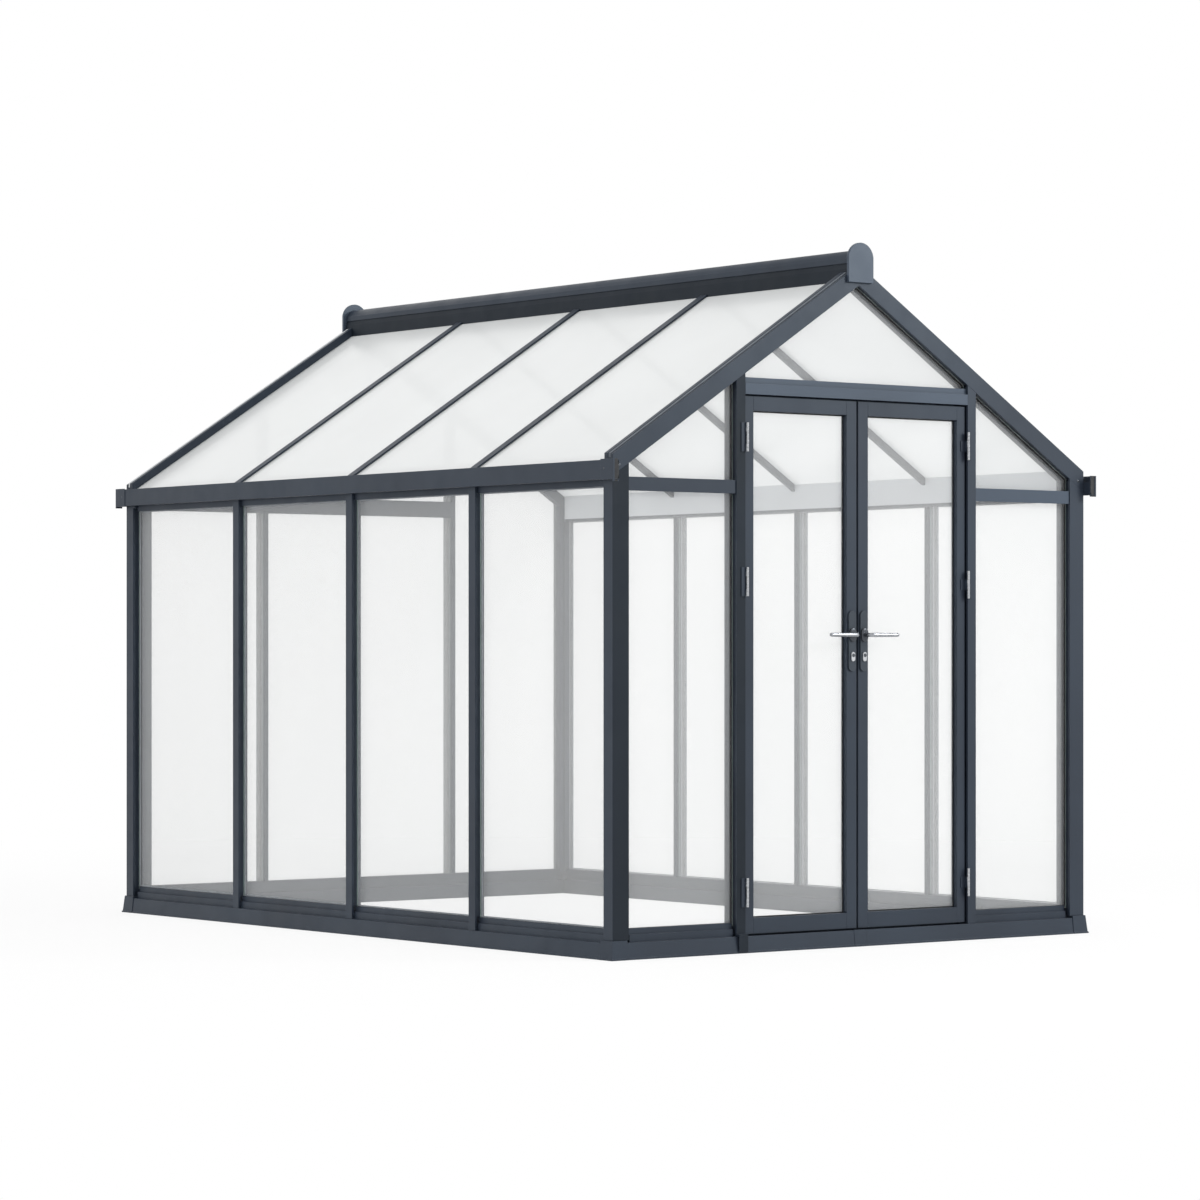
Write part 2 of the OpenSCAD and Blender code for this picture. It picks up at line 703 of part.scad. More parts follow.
// fixed half: two end barrels and a plate on the door post's face
module post_hinges() {
    end_h = (hinge_len - hinge_mid) / 2 - hinge_play;
    x = -hinge_x - hinge_r - hinge_back;
    for (z = hinge_z) {
        for (s = [-1, 1]) {
            zc = z + s * (hinge_len - end_h) / 2;
            barrel(zc, end_h);
            box(x, -hinge_x, -hl + hinge_d, -hl + hinge_d + hinge_tab_t + 1,
                zc - end_h / 2, zc + end_h / 2);
            box(x, x + hinge_back_t, -hl + hinge_d, -hl, zc - end_h / 2, zc + end_h / 2);
        }
        box(x - hinge_plate, x + hinge_back, -hl - hinge_tab_t, -hl,
            z - hinge_len / 2, z + hinge_len / 2);
    }
}

module hinges_fixed() color(steel_grey) both_sides() post_hinges();

module leaf_lock() {
    face = -hl + leaf_recess;
    r = plate_w / 2;
    difference() {
        union() {
            box(-spindle_x - r, -spindle_x + r, face - plate_t, face,
                plate_z - plate_h / 2 + r, plate_z + plate_h / 2 - r);
            for (s = [-1, 1])
                translate([-spindle_x, face, plate_z + s * (plate_h / 2 - r)])
                    rotate([90, 0, 0]) cylinder(r = r, h = plate_t, $fn = round_fn);
            // key cylinder
            box(-spindle_x - cyl_r, -spindle_x + cyl_r, face - cyl_t, face - 1,
                lever_z - cyl_drop - cyl_h / 2, lever_z - cyl_drop + cyl_h / 2);
            for (s = [-1, 1])
                translate([-spindle_x, face - 1, lever_z - cyl_drop + s * cyl_h / 2])
                    rotate([90, 0, 0]) cylinder(r = cyl_r, h = cyl_t - 1, $fn = round_fn);
        }
        translate([-spindle_x, face + 1, lever_z]) rotate([90, 0, 0])
            cylinder(r = lever_neck_r + lever_play, h = plate_t + 2, $fn = round_fn);
    }
}

// lever: a neck out of the plate's bore, and a grip towards the hinge side
module leaf_lever() {
    face = -hl + leaf_recess;
    grip_y = face - lever_out + lever_r;
    translate([-spindle_x, face - 0.5, lever_z]) rotate([90, 0, 0])
        cylinder(r = lever_neck_r, h = lever_out - lever_r, $fn = round_fn);
    translate([-spindle_x + lever_tail, grip_y, lever_z]) rotate([0, -90, 0])
        cylinder(r = lever_r, h = lever_len + lever_tail, $fn = round_fn);
}

module door_left_stiles() color(frame_grey) leaf_stiles();

module door_left_rails() color(frame_grey) leaf_rails();

module door_left_glass() color(glass_tint) leaf_glass();

module door_left_hinges() color(steel_grey) leaf_hinges();

module door_left_lock() color(steel_grey) leaf_lock();

module lever_left() color(steel_grey) leaf_lever();

module door_right_stiles() color(frame_grey) mirror([1, 0, 0]) leaf_stiles();

module door_right_rails() color(frame_grey) mirror([1, 0, 0]) leaf_rails();

module door_right_glass() color(glass_tint) mirror([1, 0, 0]) leaf_glass();

module door_right_hinges() color(steel_grey) mirror([1, 0, 0]) leaf_hinges();

module door_right_lock() color(steel_grey) mirror([1, 0, 0]) leaf_lock();

module lever_right() color(steel_grey) mirror([1, 0, 0]) leaf_lever();

base_rail_front();
base_rail_back();
base_rails_side();
base_corners();
base_joiner();
corner_posts_front();
corner_posts_back();
wall_bars_left();
wall_bars_right();
eave_beam_left();
eave_beam_right();
gutter_left();
gutter_right();
gutter_end_caps();
ridge_beam();
ridge_end_caps();
rafters_front();
rafters_back();
roof_bars_left();
roof_bars_right();
door_posts();
door_header();
front_transoms();
back_bars();
back_transoms();
glass_wall_left();
glass_wall_right();
glass_roof_left();
glass_roof_right();
glass_front();
glass_back();
hinges_fixed();
door_left_stiles();
door_left_rails();
door_left_glass();
door_left_hinges();
door_left_lock();
door_right_stiles();
door_right_rails();
door_right_glass();
door_right_hinges();
door_right_lock();
lever_left();
lever_right();
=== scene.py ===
import json
import math

import bmesh
import bpy
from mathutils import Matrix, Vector


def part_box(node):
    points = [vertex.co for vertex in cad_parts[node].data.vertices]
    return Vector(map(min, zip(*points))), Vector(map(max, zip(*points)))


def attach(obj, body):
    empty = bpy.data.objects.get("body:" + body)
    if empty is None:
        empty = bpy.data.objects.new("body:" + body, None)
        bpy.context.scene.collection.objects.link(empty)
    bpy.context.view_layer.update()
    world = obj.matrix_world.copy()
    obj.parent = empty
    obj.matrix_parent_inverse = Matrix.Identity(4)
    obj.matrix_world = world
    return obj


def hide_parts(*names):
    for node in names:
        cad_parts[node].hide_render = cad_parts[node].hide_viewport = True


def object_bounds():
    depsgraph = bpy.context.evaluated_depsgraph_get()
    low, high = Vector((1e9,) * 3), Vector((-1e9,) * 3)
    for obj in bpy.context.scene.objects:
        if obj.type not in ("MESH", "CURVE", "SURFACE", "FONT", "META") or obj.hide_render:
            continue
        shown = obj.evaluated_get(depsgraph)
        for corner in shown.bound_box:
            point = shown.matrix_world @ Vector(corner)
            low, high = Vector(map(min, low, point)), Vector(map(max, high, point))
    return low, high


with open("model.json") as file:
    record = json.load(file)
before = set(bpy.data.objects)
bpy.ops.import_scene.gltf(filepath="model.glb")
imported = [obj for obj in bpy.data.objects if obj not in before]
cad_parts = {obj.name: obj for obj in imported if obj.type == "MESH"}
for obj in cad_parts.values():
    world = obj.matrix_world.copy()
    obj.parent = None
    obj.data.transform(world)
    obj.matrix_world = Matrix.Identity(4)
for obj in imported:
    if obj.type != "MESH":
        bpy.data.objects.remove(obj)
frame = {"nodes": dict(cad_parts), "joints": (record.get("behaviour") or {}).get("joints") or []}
cadLow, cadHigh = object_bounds()
nodes = frame["nodes"]
joints = {joint["name"]: joint for joint in frame["joints"]}
print("frame loaded with", len(nodes), "nodes")

# the house in metres, placed by the frame, with the slope that its roof is built to
pitch = math.radians(32.5)
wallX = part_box("corner_posts_front")[1].x          # outer face of the long walls
gableY = -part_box("rafters_front")[0].y             # outer face of the gables
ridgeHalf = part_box("ridge_beam")[1].x
rafterTop = 0.008                                  # a rafter's top under the roof line
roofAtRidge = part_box("rafters_front")[1].z + rafterTop / math.cos(pitch)
eaveHeight = roofAtRidge - math.tan(pitch) * (wallX - ridgeHalf)
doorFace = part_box("door_left_stiles")[0].y         # outer face of the leaves
sideOf = {"left": -1, "right": 1}
facing = 0.9                                       # how square a face has to be to count as facing a way
joinWithin = 0.00002                               # points this close are one point


def roofZ(x, drop):
    # height of the line that lies drop below the roof line, square to the slope
    return eaveHeight + math.tan(pitch) * (wallX - abs(x)) - drop / math.cos(pitch)


# small mesh tools

def addBlock(mesh, low, high):
    x0, y0, z0 = low
    x1, y1, z1 = high
    corners = [(x0, y0, z0), (x1, y0, z0), (x1, y1, z0), (x0, y1, z0),
               (x0, y0, z1), (x1, y0, z1), (x1, y1, z1), (x0, y1, z1)]
    v = [mesh.verts.new(c) for c in corners]
    for face in ((3, 2, 1, 0), (4, 5, 6, 7), (0, 1, 5, 4), (1, 2, 6, 5), (2, 3, 7, 6), (3, 0, 4, 7)):
        mesh.faces.new([v[i] for i in face])


def addTube(mesh, rings, openEnds=False):
    # rings is a list of loops of points, all of one length
    loops = [[mesh.verts.new(p) for p in ring] for ring in rings]
    count = len(loops[0])
    for a, b in zip(loops, loops[1:]):
        for i in range(count):
            j = (i + 1) % count
            mesh.faces.new((a[i], a[j], b[j], b[i]))
    if not openEnds:
        mesh.faces.new(list(reversed(loops[0])))
        mesh.faces.new(loops[-1])


def ringAt(centre, axis, across, radius, sides):
    # points round centre, square to axis, the first one towards across
    up = axis.cross(across).normalized()
    ring = []
    for i in range(sides):
        a = 2 * math.pi * i / sides
        ring.append(centre + across * (radius * math.cos(a)) + up * (radius * math.sin(a)))
    return ring


def makePiece(name, mesh, body, finish, softEdge=0.0, smoothAngle=40):
    bmesh.ops.recalc_face_normals(mesh, faces=mesh.faces[:])
    data = bpy.data.meshes.new(name)
    mesh.to_mesh(data)
    mesh.free()
    piece = bpy.data.objects.new(name, data)
    bpy.context.scene.collection.objects.link(piece)
    data.materials.append(finish)
    data.shade_smooth()
    if softEdge:
        addSoftEdges(piece, softEdge)
    data.set_sharp_from_angle(angle=math.radians(smoothAngle))
    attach(piece, body)
    return piece


softEdges = {
    "segments": 2,
    "from": 35,               # degrees between two faces that get a soft edge
}


def addSoftEdges(piece, width):
    soften = piece.modifiers.new("softEdges", "BEVEL")
    soften.width = width
    soften.segments = softEdges["segments"]
    soften.limit_method = "ANGLE"
    soften.angle_limit = math.radians(softEdges["from"])
    soften.use_clamp_overlap = False
    soften.harden_normals = True


# finishes

noiseSpan = (0.3, 0.7)        # most of a noise lies between these


def newFinish(name):
    finish = bpy.data.materials.new(name)
    finish.use_nodes = True
    tree = finish.node_tree
    return finish, tree, tree.nodes["Principled BSDF"]


def noiseAt(tree, scale, detail=3.0, roughness=0.5, stretch=None):
    coords = tree.nodes.new("ShaderNodeTexCoord")
    noise = tree.nodes.new("ShaderNodeTexNoise")
    noise.inputs["Scale"].default_value = scale
    noise.inputs["Detail"].default_value = detail
    noise.inputs["Roughness"].default_value = roughness
    source = coords.outputs["Object"]
    if stretch:
        mapping = tree.nodes.new("ShaderNodeMapping")
        mapping.inputs["Scale"].default_value = stretch
        tree.links.new(source, mapping.inputs["Vector"])
        source = mapping.outputs["Vector"]
    tree.links.new(source, noise.inputs["Vector"])
    return noise.outputs["Fac"]


def varyColour(tree, shader, factor, dark, light):
    ramp = tree.nodes.new("ShaderNodeValToRGB")
    ramp.color_ramp.elements[0].position = noiseSpan[0]
    ramp.color_ramp.elements[0].color = (*dark, 1)
    ramp.color_ramp.elements[1].position = noiseSpan[1]
    ramp.color_ramp.elements[1].color = (*light, 1)
    tree.links.new(factor, ramp.inputs["Fac"])
    tree.links.new(ramp.outputs["Color"], shader.inputs["Base Color"])


def varyRoughness(tree, shader, factor, low, high):
    spread = tree.nodes.new("ShaderNodeMapRange")
    spread.inputs["From Min"].default_value = noiseSpan[0]
    spread.inputs["From Max"].default_value = noiseSpan[1]
    spread.inputs["To Min"].default_value = low
    spread.inputs["To Max"].default_value = high
    tree.links.new(factor, spread.inputs["Value"])
    tree.links.new(spread.outputs["Result"], shader.inputs["Roughness"])


def addBump(tree, shader, height, strength, distance, before=None):
    bump = tree.nodes.new("ShaderNodeBump")
    bump.inputs["Strength"].default_value = strength
    bump.inputs["Distance"].default_value = distance
    tree.links.new(height, bump.inputs["Height"])
    if before is not None:
        tree.links.new(before, bump.inputs["Normal"])
    tree.links.new(bump.outputs["Normal"], shader.inputs["Normal"])
    return bump.outputs["Normal"]


def fromHex(code):
    # a hex colour as linear numbers
    values = [int(code[i:i + 2], 16) / 255 for i in (0, 2, 4)]
    return tuple(v / 12.92 if v <= 0.04045 else ((v + 0.055) / 1.055) ** 2.4 for v in values)


paint = {
    "sheen": (0.80, 0.91, 1.0),
    "gloss": 1.45,
    "shadeGloss": 1.38,
    "mottle": 2.3,            # patches of colour, of gloss and of grain to a metre
    "clouds": 11.0,
    "grain": 620,
    "grainStrength": 0.35,
    "grainDepth": 0.00025,
    "waves": 6.0,             # slow waves along a drawn profile
    "waveStrength": 0.15,
    "waveDepth": 0.0012,
}


def powderCoat(name, dark, light, roughLow, roughHigh):
    finish, tree, shader = newFinish(name)
    varyColour(tree, shader, noiseAt(tree, paint["mottle"], detail=4.0), fromHex(dark), fromHex(light))
    varyRoughness(tree, shader, noiseAt(tree, paint["clouds"], detail=5.0), roughLow, roughHigh)
    grain = noiseAt(tree, paint["grain"], detail=2.0)
    waves = noiseAt(tree, paint["waves"], detail=2.0)
    peel = addBump(tree, shader, grain, paint["grainStrength"], paint["grainDepth"])
    addBump(tree, shader, waves, paint["waveStrength"], paint["waveDepth"], peel)
    shader.inputs["IOR"].default_value = paint["gloss"]
    shader.inputs["Specular Tint"].default_value = (*paint["sheen"], 1)
    return finish


steel = {
    "lines": 420.0,           # brush lines and clouds of gloss to a metre
    "clouds": 90.0,
    "roughLow": 0.2,
    "roughHigh": 0.36,
    "lineStrength": 0.12,
    "lineDepth": 0.0001,
    "upright": (1, 1, 0.04),  # how the lines are drawn out
    "across": (0.2, 0.2, 1),
    "even": (1, 1, 1),
}


def brushedSteel(name, dark, light, way):
    finish, tree, shader = newFinish(name)
    lines = noiseAt(tree, steel["lines"], detail=3.0, roughness=0.6, stretch=steel[way])
    varyColour(tree, shader, lines, fromHex(dark), fromHex(light))
    clouds = noiseAt(tree, steel["clouds"], detail=4.0)
    varyRoughness(tree, shader, clouds, steel["roughLow"], steel["roughHigh"])
    addBump(tree, shader, lines, steel["lineStrength"], steel["lineDepth"])
    shader.inputs["Metallic"].default_value = 1.0
    return finish


plastic = {
    "mottle": 30.0,
    "clouds": 60.0,
    "roughLow": 0.5,
    "roughHigh": 0.68,
    "grain": 900.0,
    "grainStrength": 0.3,
    "grainDepth": 0.0002,
}


def mouldedPlastic(name, dark, light):
    finish, tree, shader = newFinish(name)
    varyColour(tree, shader, noiseAt(tree, plastic["mottle"]), fromHex(dark), fromHex(light))
    clouds = noiseAt(tree, plastic["clouds"])
    varyRoughness(tree, shader, clouds, plastic["roughLow"], plastic["roughHigh"])
    grain = noiseAt(tree, plastic["grain"], detail=2.0)
    addBump(tree, shader, grain, plastic["grainStrength"], plastic["grainDepth"])
    return finish


glass = {
    "wallTint": ("f0f2f2", "f7f8f8"),
    "wallAlpha": 0.18,
    "wallGlow": 0.03,         # painted light: the pane glows this much of its own
    "wallRough": (0.04, 0.10),
    "roofTint": ("dddfdf", "e4e6e6"),
    "roofAlpha": 0.80,
    "roofGlow": 0.04,
    "roofRough": (0.14, 0.24),
    "underTint": ("dddfdf", "e4e6e6"),
    "underAlpha": 0.80,
    "underGlow": 0.30,        # painted light: the underside of a roof pane glows, standing in for the sky's light through it
    "underRough": (0.14, 0.24),
    "edgeTint": ("7f9a94", "93aaa5"),
    "edgeAlpha": 0.75,
    "edgeGlow": 0.0,
    "edgeRough": (0.15, 0.25),
    "mottle": 1.1,
    "clouds": 3.0,
    "waves": 0.7,             # a pane is all but flat
    "waveStrength": 0.05,
    "waveDepth": 0.002,
    "gloss": 1.5,
}


def paneFinish(name, kind):
    finish, tree, shader = newFinish(name)
    tint = [fromHex(code) for code in glass[kind + "Tint"]]
    varyColour(tree, shader, noiseAt(tree, glass["mottle"]), *tint)
    varyRoughness(tree, shader, noiseAt(tree, glass["clouds"], detail=4.0), *glass[kind + "Rough"])
    waves = noiseAt(tree, glass["waves"], detail=1.0)
    addBump(tree, shader, waves, glass["waveStrength"], glass["waveDepth"])
    shader.inputs["Alpha"].default_value = glass[kind + "Alpha"]
    # painted light: each pane glows by its kind's glow
    shader.inputs["Emission Color"].default_value = (1, 1, 1, 1)
    shader.inputs["Emission Strength"].default_value = glass[kind + "Glow"]
    shader.inputs["IOR"].default_value = glass["gloss"]
    return finish


coats = {                     # darkest, lightest, least and most rough
    "framePaint": ("242a35", "2a323e", 0.40, 0.52),
    "platePaint": ("30353c", "373d45", 0.34, 0.44),
    "shadePaint": ("0e141c", "131a24", 0.50, 0.60),      # on faces that lie in shade
    "brightPaint": ("3a4350", "424c5a", 0.36, 0.46),     # on faces turned to the light
    # painted light: a pale coat for the inward faces of the eave beams
    "paintedLightPale": ("d2d5d8", "dcdfe2", 0.40, 0.50),
}
framePaint, platePaint, shadePaint, brightPaint, paintedLightPale = [
    powderCoat(name, *look) for name, look in coats.items()]
shadePaint.node_tree.nodes["Principled BSDF"].inputs["IOR"].default_value = paint["shadeGloss"]

plastics = {                  # darkest, lightest
    # painted shade: the black of the gutters' end plates
    "endPlatePaintedShade": ("15171a", "1c1f22"),
    "sealGrey": ("8d9298", "9ca1a6"),
    "sealBlack": ("17191b", "202326"),
    # painted light: the lit copy of the groove seal
    "sealPaintedLight": ("d2d5d7", "dadde0"),
    # painted shade: the shaded copy of the groove seal
    "sealPaintedShade": ("555b63", "626971"),
}
endPlatePaintedShade, sealGrey, sealBlack, sealPaintedLight, sealPaintedShade = [
    mouldedPlastic(name, *look) for name, look in plastics.items()]

steels = {                    # darkest, lightest, way of the brush lines
    "polishedSteel": ("8b8e93", "b4b7bb", "upright"),
    "roseSteel": ("3f4247", "5a5e63", "upright"),
    "cylinderSteel": ("b9bcc0", "d4d6d9", "upright"),
    "hingeSteel": ("9da0a4", "c4c7ca", "across"),
    "screwSteel": ("54585e", "71757b", "even"),
}
polishedSteel, roseSteel, cylinderSteel, hingeSteel, screwSteel = [
    brushedSteel(name, *look) for name, look in steels.items()]

wallPane = paneFinish("wallPane", "wall")
roofPane = paneFinish("roofPane", "roof")
# painted light: the glowing underside of the roof panes
roofUnderPaintedLight = paneFinish("roofUnderPaintedLight", "under")
paneEdge = paneFinish("paneEdge", "edge")
print("finishes ready")


# the frame's own profiles

profiles = {
    "softEdge": 0.0009,
    "shadeUnder": 0.05,       # the ridge beam's sides are in shade this far below its top
    "gableDepth": 0.02,       # how far back a post's gable faces reach
    "paintedLightIn": 0.05,         # the painted light on an eave beam's inside lies at least this far inside the wall face
    "painted": ["base_rail_front", "base_rail_back", "base_rails_side", "base_corners", "base_joiner",
                "corner_posts_front", "corner_posts_back", "wall_bars_left", "wall_bars_right",
                "eave_beam_left", "eave_beam_right", "gutter_left", "gutter_right", "gutter_end_caps",
                "ridge_beam", "ridge_end_caps", "rafters_front", "rafters_back",
                "roof_bars_left", "roof_bars_right", "door_posts", "door_header",
                "front_transoms", "back_bars", "back_transoms",
                "door_left_stiles", "door_left_rails", "door_right_stiles", "door_right_rails"],
}


def setFinishes(node, finishes):
    node.data.materials.clear()
    for finish in finishes:
        node.data.materials.append(finish)


def softenNode(node, width):
    weld = node.modifiers.new("weld", "WELD")
    weld.merge_threshold = joinWithin
    flat = node.modifiers.new("flatten", "DECIMATE")
    flat.decimate_type = "DISSOLVE"
    flat.angle_limit = math.radians(1)
    addSoftEdges(node, width)


for name in profiles["painted"]:
    setFinishes(nodes[name], [framePaint])
    softenNode(nodes[name], profiles["softEdge"])

# the ridge beam's sides under the seam lie in shade
ridge = nodes["ridge_beam"]
setFinishes(ridge, [framePaint, shadePaint])
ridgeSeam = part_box("ridge_beam")[1].z - profiles["shadeUnder"]
for face in ridge.data.polygons:
    face.material_index = 1 if abs(face.normal.x) > facing and face.center.z < ridgeSeam else 0

# the header, the ridge caps and the right transom face the light
setFinishes(nodes["door_header"], [brightPaint])
setFinishes(nodes["ridge_end_caps"], [brightPaint])
setFinishes(nodes["front_transoms"], [framePaint, brightPaint])
for face in nodes["front_transoms"].data.polygons:
    face.material_index = 1 if face.center.x > 0 else 0

# the gable faces of the left corner post and the left door post lie in shade too
for name in ("corner_posts_front", "door_posts"):
    setFinishes(nodes[name], [framePaint, shadePaint])
    for face in nodes[name].data.polygons:
        onGable = face.normal.y < -facing and face.center.y < profiles["gableDepth"] - gableY
        face.material_index = 1 if onGable and face.center.x < 0 else 0

# the eave beams get a pale coat on the inside: painted light
for side, s in sideOf.items():
    beam = nodes["eave_beam_" + side]
    setFinishes(beam, [framePaint, paintedLightPale])
    for face in beam.data.polygons:
        inward = face.normal.x * s < -facing
        face.material_index = 1 if inward and abs(face.center.x) < wallX - profiles["paintedLightIn"] else 0

# and a dark lip along its foot
lip = {
    "tall": 0.011,
    "thick": 0.0006,
    "short": 0.004,           # clear of the corner posts at each end
    "up": 0.0005,             # clear of the beam's own edge
}

mesh = bmesh.new()
for side, s in sideOf.items():
    low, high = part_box("eave_beam_" + side)
    x = min(abs(low.x), abs(high.x))
    edges = sorted((s * x, s * (x - lip["thick"])))
    addBlock(mesh, (edges[0], low.y + lip["short"], low.z + lip["up"]),
             (edges[1], high.y - lip["short"], low.z + lip["tall"]))
makePiece("eaveLips", mesh, "house", framePaint)

# the end plates of the gutters, black inside their painted rims: the black is painted shade for the dark
# in the gutters' ends
endPlate = {
    "outer": 0.0202,          # edges of the plate past the wall face
    "inner": 0.0006,
    "recess": 0.0031,         # from the rim's face to the plate's
    "thick": 0.0012,
    "clear": 0.0003,          # of the rim's top and bottom
    "bulge": 0.0060,          # the inner edge is bowed by this much, to the curve of that painted shade
    "steps": 10,
    "roundness": 0.7,
    "softEdge": 0.0003,
}


def makeEndPlates():
    mesh = bmesh.new()
    low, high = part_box("gutter_end_caps")
    bottom = low.z + endPlate["clear"]
    top = high.z - endPlate["clear"]
    face = high.y - endPlate["recess"]
    for s in (-1, 1):
        for e in (-1, 1):
            outline = [(endPlate["outer"], bottom), (endPlate["outer"], top)]
            for k in range(endPlate["steps"] + 1):
                t = k / endPlate["steps"]
                bow = endPlate["bulge"] * (1 - math.sin(math.pi * t) ** endPlate["roundness"])
                outline.append((endPlate["inner"] + bow, top + (bottom - top) * t))
            rings = []
            for y in (face, face + endPlate["thick"]):
                rings.append([Vector((s * (wallX + x), e * y, z)) for x, z in outline])
            addTube(mesh, rings)
    makePiece("gutterEndPlates", mesh, "house", endPlatePaintedShade,
              softEdge=endPlate["softEdge"], smoothAngle=30)


makeEndPlates()
print("profiles painted")


# glass

panes = {
    "glass_wall_left": (wallPane, Vector((1, 0, 0))),
    "glass_wall_right": (wallPane, Vector((1, 0, 0))),
    "glass_front": (wallPane, Vector((0, 1, 0))),
    "glass_back": (wallPane, Vector((0, 1, 0))),
    "door_left_glass": (wallPane, Vector((0, 1, 0))),
    "door_right_glass": (wallPane, Vector((0, 1, 0))),
    "glass_roof_left": (roofPane, Vector((-math.sin(pitch), 0, math.cos(pitch)))),
    "glass_roof_right": (roofPane, Vector((math.sin(pitch), 0, math.cos(pitch)))),
}

for name, (finish, through) in panes.items():
    setFinishes(nodes[name], [finish, paneEdge, roofUnderPaintedLight])
    for face in nodes[name].data.polygons:
        across = face.normal.dot(through)
        face.material_index = 0 if abs(across) > facing else 1
        if finish == roofPane and across < -facing:
            face.material_index = 2
print("glass fitted")


# seals

seals = {
    "wallStart": 0.0115,      # from the edge of a pane to the seal
    "gableStart": 0.0072,
    "doorStart": 0.0083,
    "width": 0.0040,
    "thick": 0.0022,
    "grooveLow": 0.0215,      # seal in the groove of a gable rafter, below the roof line
    "grooveHigh": 0.0095,
    "grooveFrom": 0.0125,
    "grooveTo": 0.0255,
    "grooveSeat": 0.001,      # the seal's foot reaches this far past its seat
    "grooveRidgeEnd": 0.001,
    "grooveEaveEnd": 0.002,
    "sharpest": 0.3,          # a mitre is drawn out no further than one over this
}


def paneOutlines(node, through):
    # the outer outline of each pane, as loops of points
    mesh = bmesh.new()
    mesh.from_mesh(node.data)
    bmesh.ops.remove_doubles(mesh, verts=mesh.verts[:], dist=joinWithin)
    bmesh.ops.dissolve_limit(mesh, angle_limit=math.radians(1), verts=mesh.verts[:], edges=mesh.edges[:])
    loops = []
    for face in mesh.faces:
        if face.normal.dot(through) > facing:
            loops.append([v.co.copy() for v in face.verts])
    mesh.free()
    return loops


def insetLoop(loop, normal, distance):
    # the loop drawn in by distance, with mitred corners
    result = []
    count = len(loop)
    for i in range(count):
        before = (loop[i] - loop[i - 1]).normalized()
        after = (loop[(i + 1) % count] - loop[i]).normalized()
        inBefore = normal.cross(before)
        inAfter = normal.cross(after)
        middle = (inBefore + inAfter).normalized()
        result.append(loop[i] + middle * (distance / max(seals["sharpest"], middle.dot(inAfter))))
    return result


def addSealRing(mesh, loop, normal, start):
    near = insetLoop(loop, normal, start)
    far = insetLoop(loop, normal, start + seals["width"])
    lift = normal * seals["thick"]
    rings = [near, [p + lift for p in near], [p + lift for p in far], far]
    verts = [[mesh.verts.new(p) for p in ring] for ring in rings]
    count = len(loop)
    for k in range(4):
        a, b = verts[k], verts[(k + 1) % 4]
        for i in range(count):
            j = (i + 1) % count
            mesh.faces.new((a[i], a[j], b[j], b[i]))


sealedPanes = {
    "wallSealsLeft": ("glass_wall_left", Vector((-1, 0, 0)), "house", "wallStart", sealGrey),
    "wallSealsRight": ("glass_wall_right", Vector((1, 0, 0)), "house", "wallStart", sealGrey),
    "frontSeals": ("glass_front", Vector((0, -1, 0)), "house", "gableStart", sealBlack),
    "backSeals": ("glass_back", Vector((0, 1, 0)), "house", "gableStart", sealBlack),
    "doorSealsLeft": ("door_left_glass", Vector((0, -1, 0)), "door_left", "doorStart", sealBlack),
    "doorSealsRight": ("door_right_glass", Vector((0, -1, 0)), "door_right", "doorStart", sealBlack),
}

for name, (node, outward, body, start, finish) in sealedPanes.items():
    mesh = bmesh.new()
    for loop in paneOutlines(nodes[node], outward):
        addSealRing(mesh, loop, outward, seals[start])
    makePiece(name, mesh, body, finish)


def makeGrooveSeals(name, end, finish):
    # the seal in the groove along the top of a gable's two rafters
    mesh = bmesh.new()
    ys = [end * (gableY - seals["grooveFrom"]), end * (gableY - seals["grooveTo"])]
    for s in (-1, 1):
        rings = []
        for x in (ridgeHalf + seals["grooveRidgeEnd"], wallX - seals["grooveEaveEnd"]):
            foot = roofZ(x, seals["grooveLow"] + seals["grooveSeat"])
            top = roofZ(x, seals["grooveHigh"])
            rings.append([Vector((s * x, ys[0], foot)), Vector((s * x, ys[1], foot)),
                          Vector((s * x, ys[1], top)), Vector((s * x, ys[0], top))])
        addTube(mesh, rings)
    makePiece(name, mesh, "house", finish)


# one groove seal in two tones for how light falls: painted shade on the front gable's, painted light on
# the back gable's
makeGrooveSeals("rafterSealsFront", -1, sealPaintedShade)
makeGrooveSeals("rafterSealsBack", 1, sealPaintedLight)
print("seals laid")


# screws

screw = {
    "radius": 0.0045,
    "height": 0.0022,
    "socket": 0.0021,
    "depth": 0.0013,
    "sides": 18,
    "dome": ((1.0, -0.2), (1.0, 0.35), (0.86, 0.8), (0.62, 1.0)),   # shares of the radius and height
    "gutterSize": 0.8,        # of the rafter screws' size
    "gutterSink": 0.0008,
    "gutterIn": 0.012,        # in from the gable, and up from the gutter's middle
    "gutterUp": 0.004,
    "rafterIn": 0.028,        # in from the wall face, and below the roof line
    "rafterDrop": 0.058,
}


def addScrew(mesh, place, outward, size=1.0):
    # a low domed head with a six-sided socket
    across = outward.orthogonal().normalized()
    rings = []
    for r, h in screw["dome"]:
        rings.append(ringAt(place + outward * (h * screw["height"] * size), outward, across,
                            r * screw["radius"] * size, screw["sides"]))
    for h in (screw["height"], screw["height"] - screw["depth"]):
        ring = []
        for p in ringAt(Vector(), outward, across, 1.0, screw["sides"]):
            turn = math.atan2(p.dot(outward.cross(across)), p.dot(across)) % (math.pi / 3)
            reach = screw["socket"] * math.cos(math.pi / 6) / math.cos(turn - math.pi / 6)
            ring.append(place + outward * (h * size) + p * (reach * size))
        rings.append(ring)
    addTube(mesh, rings)


def makeScrews(name, body, places, size=1.0):
    mesh = bmesh.new()
    for place, outward in places:
        addScrew(mesh, Vector(place), Vector(outward).normalized(), size)
    makePiece(name, mesh, body, screwSteel, smoothAngle=30)


